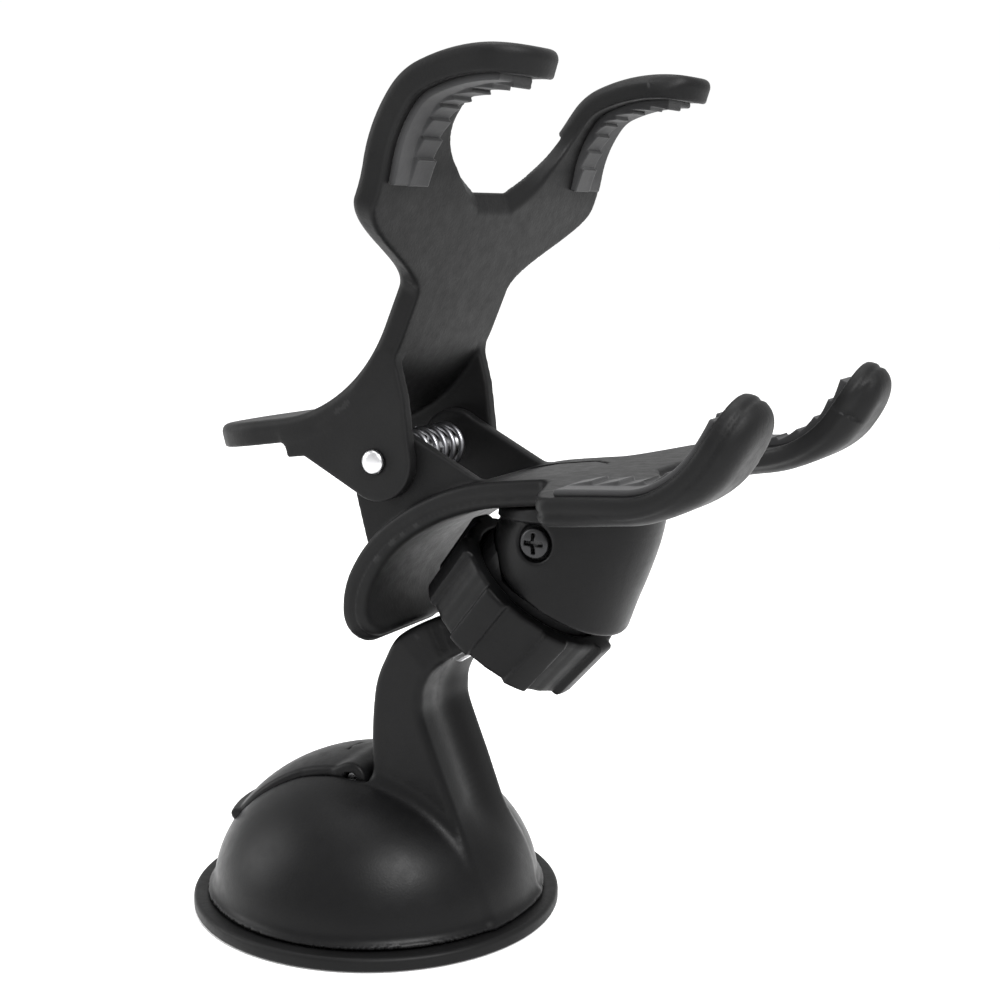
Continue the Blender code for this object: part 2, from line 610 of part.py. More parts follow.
def make_hinge():
    px, pz = PIN
    reach = EAR_OUT[1] + GAP
    frame = Matrix.Translation((px * MM, 0, pz * MM)) @ Matrix.Rotation(radians(90), 4, "X")
    head = [(0, reach + 0.8), (1.9, reach + 0.8), (2.2, reach + 0.5), (2.2, reach), (PIN_R, reach)]
    profile = head + [(r, -z) for r, z in reversed(head)]
    as_part(turned("hinge_rivet", profile, FINE, frame), "hinge_rivet", STEEL)

    steps = 12
    count = COIL_TURNS * steps
    start = -COIL_TURNS * COIL_PITCH / 2
    curve = bpy.data.curves.new("torsion_spring", "CURVE")
    curve.dimensions = "3D"
    curve.bevel_depth = WIRE_R * MM
    curve.bevel_resolution = 1
    curve.use_fill_caps = True
    curve.render_resolution_u = 0
    line = curve.splines.new("POLY")
    points = [(px + 2.0, start - 0.2, pz - 8.4)]
    for i in range(count + 1):
        angle = 2 * pi * i / steps + pi
        points.append((px + COIL_R * cos(angle), start + COIL_PITCH * i / steps, pz + COIL_R * sin(angle)))
    points.append((px - 6.9, -start + 0.2, pz + 2.6))
    line.points.add(len(points) - 1)
    for spot, (x, y, z) in zip(line.points, points):
        spot.co = (x * MM, y * MM, z * MM, 1.0)
    coil = bpy.data.objects.new("torsion_spring", curve)
    TOOLS.objects.link(coil)
    bpy.context.view_layer.update()
    mesh = bpy.data.meshes.new_from_object(coil.evaluated_get(bpy.context.evaluated_depsgraph_get()))
    bpy.data.objects.remove(coil, do_unlink=True)
    bm = bmesh.new()
    bm.from_mesh(mesh)
    bmesh.ops.remove_doubles(bm, verts=bm.verts, dist=0.00001)
    bmesh.ops.recalc_face_normals(bm, faces=bm.faces)
    bm.to_mesh(mesh)
    bm.free()
    as_part(tool("torsion_spring", mesh), "torsion_spring", STEEL)


# ---------------------------------------------------------------- joints

def pivot(name, point, parent=None):
    """An empty on a joint's axis, which runs through x, z."""
    empty = bpy.data.objects.new(name, None)
    TOOLS.objects.link(empty)
    empty.location = (point[0] * MM, 0, point[1] * MM)
    bpy.context.view_layer.update()
    if parent is not None:
        empty.parent = parent
        empty.matrix_parent_inverse = parent.matrix_world.inverted()
        bpy.context.view_layer.update()
    return empty


def hang_on(empty, names):
    for name in names:
        piece = bpy.data.objects[name]
        piece.parent = empty
        piece.matrix_parent_inverse = empty.matrix_world.inverted()


clear_scene()
PARTS = collection("car_phone_mount")
TOOLS = collection("cutters")
BLACK = material("black_moulding", (0.012, 0.012, 0.013), 0.42)
SATIN = material("satin_moulding", (0.016, 0.016, 0.017), 0.5)
PAD = material("pad_rubber", (0.035, 0.035, 0.036), 0.75)
RUBBER = material("cup_rubber", (0.014, 0.014, 0.015), 0.45)
NYLON = material("nylon_liner", (0.55, 0.54, 0.5), 0.5)
STEEL = material("bright_steel", (0.62, 0.62, 0.63), 0.3, 1.0)
DARK_STEEL = material("black_screw", (0.05, 0.05, 0.052), 0.35, 0.8)
UPPER_LINE = trail(UPPER_START, UPPER_HEADING, UPPER_STEPS)
LOWER_LINE = trail(LOWER_START, LOWER_HEADING, LOWER_STEPS)

make_foot()
make_ball_joint()
make_head_shell()
make_lower_jaw()
make_upper_jaw()
make_pads()
make_hinge()
lever_joint = pivot("lever_pivot", LEVER_PIVOT)
head_joint = pivot("ball_centre", BALL)
jaw_joint = pivot("jaw_pivot", PIN, head_joint)
hang_on(lever_joint, ["suction_lever", "lever_pin", "pull_post"])
hang_on(head_joint, ["head_shell", "threaded_collar", "socket_liner", "lock_nut", "lower_jaw", "inlay_plate",
                     "shell_screw_near", "shell_screw_far", "lower_pad_near", "lower_pad_far",
                     "hinge_rivet", "torsion_spring"])
hang_on(jaw_joint, ["upper_jaw", "upper_pad_near", "upper_pad_far"])
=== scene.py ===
"""Looks of the car phone mount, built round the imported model.

The moulded pieces are modelled as distance fields in millimetres: each field is negative inside the
piece, fields are joined and cut with rounded blends, and surface() turns one into a mesh.
"""
from math import cos, pi, radians, sin

import bpy
import numpy as np
from mathutils import Matrix, Vector


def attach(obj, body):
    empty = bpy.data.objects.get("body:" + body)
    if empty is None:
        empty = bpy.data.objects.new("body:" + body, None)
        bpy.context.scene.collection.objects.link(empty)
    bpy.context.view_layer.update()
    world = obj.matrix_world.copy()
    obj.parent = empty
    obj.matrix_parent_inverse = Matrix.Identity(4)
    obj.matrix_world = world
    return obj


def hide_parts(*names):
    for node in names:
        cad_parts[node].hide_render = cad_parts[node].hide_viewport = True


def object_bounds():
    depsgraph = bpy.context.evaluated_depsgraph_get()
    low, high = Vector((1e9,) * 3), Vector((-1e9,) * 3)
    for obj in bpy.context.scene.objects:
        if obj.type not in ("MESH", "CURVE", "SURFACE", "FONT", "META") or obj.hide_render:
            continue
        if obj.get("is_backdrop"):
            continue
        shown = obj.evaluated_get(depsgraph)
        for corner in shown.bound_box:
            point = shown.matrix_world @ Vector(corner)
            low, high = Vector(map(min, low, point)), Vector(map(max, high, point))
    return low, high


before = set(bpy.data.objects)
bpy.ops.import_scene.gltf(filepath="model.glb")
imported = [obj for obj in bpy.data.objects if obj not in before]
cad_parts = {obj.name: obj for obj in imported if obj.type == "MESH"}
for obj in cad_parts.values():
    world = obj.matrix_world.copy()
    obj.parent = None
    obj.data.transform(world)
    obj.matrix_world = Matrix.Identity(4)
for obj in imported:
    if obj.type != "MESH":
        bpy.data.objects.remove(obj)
cad_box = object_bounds()

MM = 0.001
GAP = 0.3
BALL = (30.6, 59.8)
HEAD_TILT = 39.3
PIN = (9.9, 84.9)
SCREW = (39.4, 73.5)
LEVER_PIVOT = (0.3, 25.2)
UPPER_T, LOWER_T = 4.3, 4.5
WAIST, SPREAD = 15.7, 22.3
FINGER_MIDDLE, FINGER_HALF = 30, 8
NOTCH_HALF, NOTCH_GROWTH, NOTCH_FLARE = 5.5, 16.5, 18.0
COIL_R, WIRE_R, COIL_TURNS, COIL_PITCH = 3.8, 0.55, 6, 2.9


# ---------------------------------------------------------------- fields

def step(value, low, high):
    """0 below low, 1 above high, and a smooth rise between them."""
    t = np.clip((value - low) / (high - low), 0, 1)
    return t * t * (3 - 2 * t)


def join(a, b, k):
    """Union with a fillet of about 0.6 k."""
    h = np.maximum(k - np.abs(a - b), 0) / k
    return np.minimum(a, b) - h * h * k / 4


def meet(a, b, k):
    """Intersection with an edge rounded to about 0.6 k."""
    return -join(-a, -b, k)


def cut(a, b, k):
    """a without b, with the new edge rounded to about 0.6 k."""
    return meet(a, -b, k)


def ellipsoid(x, y, z, a, b, foot):
    r2, z2 = x * x + y * y, (z - foot) ** 2
    k0 = np.sqrt(r2 / a ** 2 + z2 / b ** 2)
    k1 = np.sqrt(r2 / a ** 4 + z2 / b ** 4) + 1e-9
    return k0 * (k0 - 1) / k1


def cylinder_y(x, y, z, centre, radius, low, high, k=0.3):
    r = np.hypot(x - centre[0], z - centre[1]) - radius
    return meet(r, np.abs(y - (low + high) / 2) - (high - low) / 2, k)


def polygon(points, u, v):
    """Signed distance to a closed outline."""
    best = np.full(u.shape, 1e9)
    sign = np.ones(u.shape)
    for (ax, ay), (bx, by) in zip(points, points[1:] + points[:1]):
        ex, ey = bx - ax, by - ay
        wx, wy = u - ax, v - ay
        t = np.clip((wx * ex + wy * ey) / (ex * ex + ey * ey), 0, 1)
        best = np.minimum(best, (wx - ex * t) ** 2 + (wy - ey * t) ** 2)
        above, below = v >= ay, v < by
        left = ex * wy > ey * wx
        turns = (above & below & left) | (~above & ~below & ~left)
        sign = np.where(turns, -sign, sign)
    return sign * np.sqrt(best)


class Sheet:
    """Values worked out once on a fine grid in x, z and read back between its points."""
    PITCH = 0.25

    def __init__(self, low, high, make):
        self.low = low
        xs = np.arange(low[0], high[0], self.PITCH)
        zs = np.arange(low[1], high[1], self.PITCH)
        grid = np.meshgrid(xs, zs, indexing="ij")
        self.layers = [np.ascontiguousarray(v) for v in make(*grid)]

    def __call__(self, x, z):
        shape = self.layers[0].shape
        u = np.clip((x - self.low[0]) / self.PITCH, 0, shape[0] - 1.001)
        v = np.clip((z - self.low[1]) / self.PITCH, 0, shape[1] - 1.001)
        i, j = u.astype(np.int32), v.astype(np.int32)
        fu, fv = u - i, v - j
        out = []
        for layer in self.layers:
            near = layer[i, j] * (1 - fu) + layer[i + 1, j] * fu
            far = layer[i, j + 1] * (1 - fu) + layer[i + 1, j + 1] * fu
            out.append(near * (1 - fv) + far * fv)
        return out


def trail(start, heading, runs, pitch=0.25):
    """Points x, z, heading and distance along straight runs and arcs."""
    x, z = start
    angle, distance = radians(heading), 0.0
    points = [(x, z, angle, distance)]
    for length, turn in runs:
        count = round(length / pitch)
        for _ in range(count):
            move, bend = length / count, radians(turn) / count
            x += move * cos(angle + bend / 2)
            z += move * sin(angle + bend / 2)
            angle += bend
            distance += move
            points.append((x, z, angle, distance))
    return np.array(points)


def along_line(line):
    """A function that gives the distance along a line and the depth to its right."""
    def make(x, z):
        s, n = np.empty(x.shape), np.empty(x.shape)
        for i in range(len(x)):
            dx, dz = x[i][:, None] - line[:, 0], z[i][:, None] - line[:, 1]
            near = np.argmin(dx * dx + dz * dz, axis=1)
            row = np.arange(len(near))
            dx, dz, angle = dx[row, near], dz[row, near], line[near, 2]
            s[i] = line[near, 3] + dx * np.cos(angle) + dz * np.sin(angle)
            n[i] = dx * np.sin(angle) - dz * np.cos(angle)
        return s, n
    low = line[:, :2].min(0) - 12
    high = line[:, :2].max(0) + 12
    return Sheet(low, high, make)


def arc(centre, radius, start, end, count):
    angles = [radians(start + (end - start) * i / count) for i in range(count + 1)]
    return [(centre[0] + radius * cos(a), centre[1] + radius * sin(a)) for a in angles]


def surface(name, field, low, high, pitch=0.45):
    """Mesh of the zero level of a field, one corner to a cell, each moved onto the surface."""
    low, high = np.array(low, float), np.array(high, float)
    counts = np.ceil((high - low) / pitch).astype(int) + 1
    axes = [low[i] + pitch * np.arange(counts[i]) for i in range(3)]
    values = np.empty(counts, np.float32)
    for i in range(0, counts[0], 12):
        values[i:i + 12] = field(*np.meshgrid(axes[0][i:i + 12], axes[1], axes[2], indexing="ij"))
    inside = values < 0
    n = counts - 1
    corners = [(i, j, k) for i in (0, 1) for j in (0, 1) for k in (0, 1)]
    total = np.zeros(n, np.uint8)
    for i, j, k in corners:
        total += inside[i:i + n[0], j:j + n[1], k:k + n[2]]
    cells = np.argwhere((total > 0) & (total < 8))
    index = np.full(n, -1, np.int32)
    index[tuple(cells.T)] = np.arange(len(cells))
    at = {c: values[tuple((cells + c).T)] for c in corners}
    place, hits = np.zeros((len(cells), 3)), np.zeros(len(cells))
    for a in corners:
        for axis in range(3):
            if a[axis] == 0:
                b = tuple(v + (m == axis) for m, v in enumerate(a))
                crossed = (at[a] < 0) != (at[b] < 0)
                t = np.where(crossed, at[a] / np.where(crossed, at[a] - at[b], 1), 0)
                spot = np.array(a) + t[:, None] * (np.array(b) - np.array(a))
                place += spot * crossed[:, None]
                hits += crossed
    points = low + pitch * (cells + place / hits[:, None])
    quads = []
    for axis in range(3):
        u, w = np.eye(3, dtype=int)[(axis + 1) % 3], np.eye(3, dtype=int)[(axis + 2) % 3]
        along = np.eye(3, dtype=int)[axis]
        first = u + w
        size = n - first
        a = inside[tuple(slice(f, f + m) for f, m in zip(first, size))]
        b = inside[tuple(slice(f, f + m) for f, m in zip(first + along, size))]
        spots = np.argwhere(a != b) + first
        ids = [index[tuple((spots - d).T)] for d in (0 * u, u, u + w, w)]
        quad = np.stack(ids, 1)
        out = inside[tuple(spots.T)]
        quads.append(np.where(out[:, None], quad, quad[:, ::-1]))
    points = settle(field, points, pitch)
    mesh = bpy.data.meshes.new(name)
    mesh.from_pydata((points * MM).tolist(), [], np.concatenate(quads).tolist())
    mesh.validate()
    mesh.shade_smooth()
    obj = bpy.data.objects.new(name, mesh)
    bpy.context.scene.collection.objects.link(obj)
    return obj


def settle(field, points, pitch, h=0.03):
    """Moves points onto the zero level with three Newton steps."""
    for _ in range(3):
        x, y, z = points.T
        value = field(x, y, z)
        slope = np.stack([field(x + h, y, z) - field(x - h, y, z), field(x, y + h, z) - field(x, y - h, z),
                          field(x, y, z + h) - field(x, y, z - h)], 1) / (2 * h)
        size = np.maximum((slope ** 2).sum(1), 0.2)
        move = -value[:, None] * slope / size[:, None]
        points = points + np.clip(move, -pitch / 3, pitch / 3)
    return points


def turned(name, profile, matrix=None, count=96):
    """A solid of revolution about local Z from an r, z profile that runs down its outer side."""
    rows = []
    for r, z in profile:
        a = np.arange(count) * 2 * pi / count
        rows.append(np.stack([r * np.cos(a), r * np.sin(a), np.full(count, z)], 1))
    points = np.concatenate(rows) * MM
    faces = []
    for k in range(len(profile) - 1):
        for i in range(count):
            j = (i + 1) % count
            faces.append((k * count + i, (k + 1) * count + i, (k + 1) * count + j, k * count + j))
    mesh = bpy.data.meshes.new(name)
    mesh.from_pydata(points.tolist(), [], faces)
    if matrix is not None:
        mesh.transform(matrix)
    mesh.shade_smooth()
    obj = bpy.data.objects.new(name, mesh)
    bpy.context.scene.collection.objects.link(obj)
    return obj


# ---------------------------------------------------------------- suction foot

SLOT = [(4.3, 9.8), (-10.0, 10.3), (-34.0, 15.8), (-34.0, -15.8), (-10.0, -10.3), (4.3, -9.8)]


def slot_field(x, y, z, inset, low, front):
    outline = [(min(px, front), py - inset if py > 0 else py + inset) for px, py in SLOT]
    side = polygon(outline, x, y)
    return np.maximum(side, low - z)


ARM_BACK = [(9.0, 3.2), (7.5, 10.3), (6.0, 19.2), (4.7, 27.1), (4.4, 33.6), (4.8, 40.1), (5.5, 44.4),
            (7.0, 48.1), (9.7, 52.7), (14.6, 55.9), (19.4, 57.9)]
ARM_FRONT = [(29.3, 3.2), (25.9, 10.3), (22.9, 19.2), (19.7, 27.1), (17.0, 33.6), (15.0, 38.8), (14.8, 41.6),
             (15.2, 44.2), (17.0, 47.4), (19.6, 49.6), (23.6, 52.1)]
ARM_HALF = [8.2, 8.4, 8.9, 9.2, 9.2, 9.2, 9.2, 9.2, 9.2, 8.8, 7.4]


def curve_through(points, per=6):
    """A smooth curve through points (Catmull-Rom)."""
    p = [np.array(q, float) for q in points]
    p = [2 * p[0] - p[1]] + p + [2 * p[-1] - p[-2]]
    out = []
    for a, b, c, d in zip(p, p[1:], p[2:], p[3:]):
        for i in range(per):
            t = i / per
            second = (2 * a - 5 * b + 4 * c - d) * t ** 2
            third = (3 * b - a - 3 * c + d) * t ** 3
            out.append(0.5 * (2 * b + (c - a) * t + second + third))
    return out + [p[-2]]


def arm_sheet():
    back = curve_through(ARM_BACK)
    front = curve_through(ARM_FRONT)
    half = np.interp(np.arange(len(back)) / 6, np.arange(len(ARM_HALF)), ARM_HALF)
    middle = (np.array(back) + np.array(front)) / 2
    outline = [tuple(p) for p in back] + [tuple(p) for p in front[::-1]]
    fronts = np.array(front)

    def make(x, z):
        shape = polygon(outline, x, z)
        wide = np.empty(x.shape)
        face = np.empty(x.shape)
        for i in range(len(x)):
            d = (x[i][:, None] - middle[:, 0]) ** 2 + (z[i][:, None] - middle[:, 1]) ** 2
            wide[i] = half[np.argmin(d, axis=1)]
            d = (x[i][:, None] - fronts[:, 0]) ** 2 + (z[i][:, None] - fronts[:, 1]) ** 2
            face[i] = np.sqrt(d.min(axis=1))
        return shape, wide, face
    return Sheet((-6, -4), (44, 66), make)


ARM = arm_sheet()


def cover_field(x, y, z):
    dome = ellipsoid(x, y, z, 30.3, 24.4, 2.8)
    skirt = meet(np.hypot(x, y) - 31.2, z - 3.15, 0.4)
    dome = join(dome, skirt, 2.2)
    dome = np.maximum(dome, 2.8 - z)
    shape, wide, face = ARM(x, z)
    valley = 0.9 * np.exp(-((y - 0.5) / 3.6) ** 2) * (1 - step(face, 0.5, 4.0)) * step(z, 8, 16)
    arm = meet(shape + valley, np.abs(y) - wide, 1.5)
    body = join(dome, np.maximum(arm, 2.8 - z), 2.4)
    body = cut(body, ellipsoid(x, y, z, 28.1, 22.2, 2.8), 0.3)
    body = cut(body, slot_field(x, y, z, 0.0, 14.2, 4.3), 0.7)
    a = radians(57)
    along = (x - BALL[0]) * sin(a) + (z - BALL[1]) * cos(a)
    off = np.hypot((x - BALL[0]) * cos(a) - (z - BALL[1]) * sin(a), y)
    return cut(body, np.maximum(off - 3.8, np.abs(along + 11) - 6.5), 0.4)


def lever_field(x, y, z):
    body = ellipsoid(x, y, z, 30.3, 25.6, 2.8)
    body = cut(body, ellipsoid(x, y, z, 28.0, 23.3, 2.8), 0.4)
    body = meet(body, slot_field(x, y, z, GAP, 14.6, LEVER_PIVOT[0]), 1.0)
    hub = cylinder_y(x, y, z, LEVER_PIVOT, 3.1, -9.45, 9.45, 0.8)
    body = join(body, hub, 1.2)
    lip = np.hypot(np.hypot(x, y) - 26.4, z - 15.5) - 0.9
    lip = np.maximum(lip, slot_field(x, y, z, GAP, 10.0, -5.0))
    body = join(body, lip, 0.8)
    gap = np.maximum(np.maximum(np.abs(y) - 2.2, np.abs(x - 0.5) - 5.5), z - 27.8)
    body = cut(body, gap, 0.4)
    return cut(body, cylinder_y(x, y, z, LEVER_PIVOT, 1.3, -12, 12), 0.3)


# ---------------------------------------------------------------- head

def head_frame(x, y, z):
    a = radians(HEAD_TILT)
    u = (x - BALL[0]) * cos(a) - (z - BALL[1]) * sin(a)
    w = (x - BALL[0]) * sin(a) + (z - BALL[1]) * cos(a)
    return u, y, w


def nut_field(x, y, z):
    u, v, w = head_frame(x, y, z)
    r = np.hypot(u, v)
    turn = (np.arctan2(v, u) - radians(-1.5)) / (pi / 4)
    off = np.abs(turn - np.round(turn)) * (pi / 4) * 15.0
    t = (w + 6.9) / 12.6
    rib = 1.0 * (1 - step(off, 1.9, 2.5))
    flat = -0.25 * (1 - np.clip(np.abs(off - 4.4) / 1.5, 0, 1))
    wall = r - (14.8 + 0.7 * t) - rib - flat * 0.4
    body = meet(wall, np.abs(w + 0.6) - 6.3, 1.0)
    hollow = np.maximum(r - 12.8, -5.1 - w)
    body = cut(body, hollow, 0.6)
    return cut(body, r - 8.7, 0.6)


SHELL = [((37.7, 63.2), 31.5, 13.2, 13.2), ((38.8, 66.6), 23.0, 13.1, 13.5), ((40.0, 70.6), 14.0, 13.6, 13.9),
         ((41.2, 74.4), 4.0, 14.0, 14.0), ((42.0, 77.4), -4.0, 14.0, 13.9), ((42.3, 82.6), -6.0, 14.0, 13.9)]


def shell_sheet():
    rows = [(c[0], c[1], radians(t), rx, ry) for c, t, rx, ry in SHELL]
    fine = np.array(curve_through(rows, 24))

    def make(x, z):
        station, across, rx, ry = (np.empty(x.shape) for _ in range(4))
        for i in range(len(x)):
            dx, dz = x[i][:, None] - fine[:, 0], z[i][:, None] - fine[:, 1]
            off = dx * np.sin(fine[:, 2]) + dz * np.cos(fine[:, 2])
            near = np.argmin(np.abs(off) + 0.0005 * (dx * dx + dz * dz), axis=1)
            row = np.arange(len(near))
            station[i] = near / 24 + np.where((near == 0) | (near == len(fine) - 1), off[row, near] * 0.25, 0)
            across[i] = dx[row, near] * np.cos(fine[near, 2]) - dz[row, near] * np.sin(fine[near, 2])
            rx[i], ry[i] = fine[near, 3], fine[near, 4]
        return station, across, rx, ry
    return Sheet((14, 50), (66, 90), make)


# ---------------------------------------------------------------- jaws

UPPER_LINE = trail((-29.47, 87.85), 9.0, [(19.84, 0.0), (22.66, 46.6), (6.0, 11.6), (22.7, 0.0), (5.4, 12.4),
                                          (12.0, -27.6), (5.8, -30.1), (21.4, -40.0)])
LOWER_LINE = trail((5.0, 51.5), 124.1, [(3.9, -20.1), (10.5, -40.2), (11.5, -25.0), (23.3, -30.7),
                                        (32.3, -4.3), (5.3, 24.6), (8.4, 28.0), (11.0, 16.5)])
UPPER_WIDEN, UPPER_NOTCH, UPPER_TIP, UPPER_NOSE = (55.3, 71.3), 71.9, 105.2, 14.5
LOWER_WIDEN, LOWER_NOTCH, LOWER_TIP, LOWER_NOSE = (57.5, 70.0), 74.2, 96.6, 7.0
UPPER = along_line(UPPER_LINE)
LOWER = along_line(LOWER_LINE)
SHELL_AT = shell_sheet()


def outline(s, y, widen, tip, nose):
    """Distance outside a jaw's outline, in distance along it and across it."""
    width = WAIST + SPREAD * step(s, *widen)
    t = np.clip((s - widen[0]) / (widen[1] - widen[0]), 0, 1)
    slope = SPREAD * 6 * t * (1 - t) / (widen[1] - widen[0])
    side = (np.abs(y) - width) / np.sqrt(1 + slope ** 2)
    corner = WAIST - nose
    rounded = np.hypot(np.minimum(s - nose, 0), np.maximum(np.abs(y) - corner, 0)) - nose
    side = np.where((s < nose) & (np.abs(y) > corner), rounded, np.maximum(side, -s))
    end = np.hypot(s - tip, np.abs(y) - FINGER_MIDDLE) - FINGER_HALF
    return np.where(s > tip, np.maximum(side, end), side)


def notch(s, y, floor, tip):
    """Distance outside the notch between the fingers."""
    t = np.clip((s - floor) / NOTCH_FLARE, 0, 1)
    width = NOTCH_HALF + NOTCH_GROWTH * (1 - (1 - t) ** 2.6)
    slope = NOTCH_GROWTH * 2.6 * (1 - t) ** 1.6 / NOTCH_FLARE
    side = (np.abs(y) - width) / np.sqrt(1 + slope ** 2)
    inside = np.maximum(side, floor - s)
    end = FINGER_HALF - np.hypot(s - tip, np.abs(y) - FINGER_MIDDLE)
    return np.where((s > tip) & (np.abs(y) < FINGER_MIDDLE), np.maximum(inside, end), inside)


def upper_field(x, y, z):
    s, n = UPPER(x, z)
    thick = np.abs(n - UPPER_T / 2) - UPPER_T / 2
    back = 1 - step(n, 0.8, 3.4)
    edge = outline(s, y, UPPER_WIDEN, UPPER_TIP, UPPER_NOSE)
    body = meet(edge - 0.4 * (1 - n / UPPER_T), thick, 0.6 + 1.4 * back)
    floor = UPPER_NOTCH - 0.4 - 1.1 * (n - 3.4) * (1 - step(s, UPPER_NOTCH, UPPER_NOTCH + 12))
    rounding = 3.2 * back * step(s, UPPER_NOTCH + 2, UPPER_NOTCH + 14)
    body = cut(body, notch(s, y, floor, UPPER_TIP), 0.5 + rounding)
    pan = np.maximum(np.maximum(edge + 2.6, n - 1.7), np.maximum(50.3 - s, s - 83.3))
    body = cut(body, pan, 0.7)
    ear = EARS_UPPER(x, z)[0]
    ears = meet(ear, np.abs(np.abs(y) - 14.4) - 1.3, 0.5)
    body = join(body, ears, 0.9)
    return cut(body, np.hypot(x - PIN[0], z - PIN[1]) - 1.8, 0.3)


def lower_field(x, y, z):
    s, n = LOWER(x, z)
    depth = LOWER_T + 1.3 * step(s, 85, 95)
    thick = np.abs(n - depth / 2) - depth / 2
    under = step(n, 1.6, 3.4)
    tips = step(s, 72, 84)
    edge = outline(s, y, LOWER_WIDEN, LOWER_TIP, LOWER_NOSE) - 0.4 * n / LOWER_T
    body = meet(edge, thick, 0.9 + under * (1.6 + 2.6 * tips))
    body = cut(body, notch(s, y, LOWER_NOTCH, LOWER_TIP), 0.7 + under * (1.0 + 3.4 * tips))
    groove = np.hypot(edge, n - 2.5) - 0.42
    body = cut(body, groove, 0.5)
    body = join(body, meet(np.abs(np.abs(y) - 11.65) - 1.15, EARS_LOWER(x, z)[0], 0.5), 0.8)
    boss = np.maximum(np.hypot(x - 40.4, y) - 8.6, np.abs(z - 76.6) - 5.0)
    body = join(body, boss, 0.6)
    seat = np.maximum(np.abs(y) - np.interp(s, [42.7, 49, 56, 60.3], [8.8, 9.3, 9.3, 5.3]),
                      np.maximum(n - 1.6, np.maximum(42.7 - s, s - 60.3)))
    body = cut(body, seat, 0.2)
    return cut(body, np.hypot(x - PIN[0], z - PIN[1]) - 1.8, 0.3)


def shell_field(x, y, z):
    station, across, rx, ry = SHELL_AT(x, z)
    flange = 0.8 * step(station, 3.86, 3.98)
    r = np.hypot(across, y * rx / ry) + 1e-6
    outer = r - rx - flange
    inner = r - rx + 2.0
    a = radians(31.5)
    mouth = (37.7 - x) * sin(a) + (63.2 - z) * cos(a)
    body = meet(outer, mouth, 1.0)
    body = cut(body, inner, 0.5)
    s, n = LOWER(x, z)
    body = meet(body, LOWER_T + GAP - n, 0.5)
    hole = np.hypot(x - SCREW[0], z - SCREW[1])
    sink = np.maximum(hole - 3.1, 12.6 - np.abs(y))
    body = cut(body, sink, 0.7)
    return cut(body, hole - 1.4, 0.2)


EAR_UP = ([(13.4, 103.6), (15.4, 96.0)] + arc(PIN, 6.9, 14, -124, 24)
          + [(-4.8, 84.7), (-8.2, 84.2), (-9.5, 88.2), (-2.0, 89.5), (5.0, 95.0), (10.5, 103.4)])
EAR_LOW = ([(8.2, 68.5), (6.3, 70.2), (4.1, 78.3)] + arc(PIN, 6.4, 205, 52, 24)
           + [(28.2, 82.7), (31.5, 82.0), (25.0, 79.0)])
EARS_UPPER = Sheet((-24, 66), (44, 112), lambda x, z: [polygon(EAR_UP, x, z)])
EARS_LOWER = Sheet((-8, 56), (50, 100), lambda x, z: [polygon(EAR_LOW, x, z)])


def pad_field(line, face, side, start, count, pitch):
    """A rubber pad: a strip with a raised row of stepped blocks along its inner half."""
    def field(x, y, z):
        s, n = line(x, z)
        height = (n - face[0]) * face[1]
        y = y * side
        end = start + count * pitch
        t = (s - start) / pitch
        saw = t - np.floor(t)
        strip = np.maximum(np.abs(y - 30.9) - 5.1, np.maximum(start - s, s - end))
        base = meet(strip, np.abs(height - 0.45) - 0.55, 0.4)
        lift = 1.0 + 0.75 * saw
        block = np.maximum(np.abs(y - 28.7) - 2.9, np.maximum(start - s, s - end))
        block = meet(block, np.abs(height - lift / 2) - lift / 2, 0.25)
        return join(base, block, 0.2)
    return field


# ---------------------------------------------------------------- materials

def node(tree, kind, **values):
    made = tree.nodes.new(kind)
    for key, value in values.items():
        if hasattr(made, key):
            setattr(made, key, value)
        else:
            made.inputs[key.replace("_", " ")].default_value = value
    return made


def ramp(tree, source, low, high, a, b):
    made = tree.nodes.new("ShaderNodeMapRange")
    for key, value in zip(("From Min", "From Max", "To Min", "To Max"), (low, high, a, b)):
        made.inputs[key].default_value = value
    tree.links.new(source, made.inputs["Value"])
    return made.outputs["Result"]


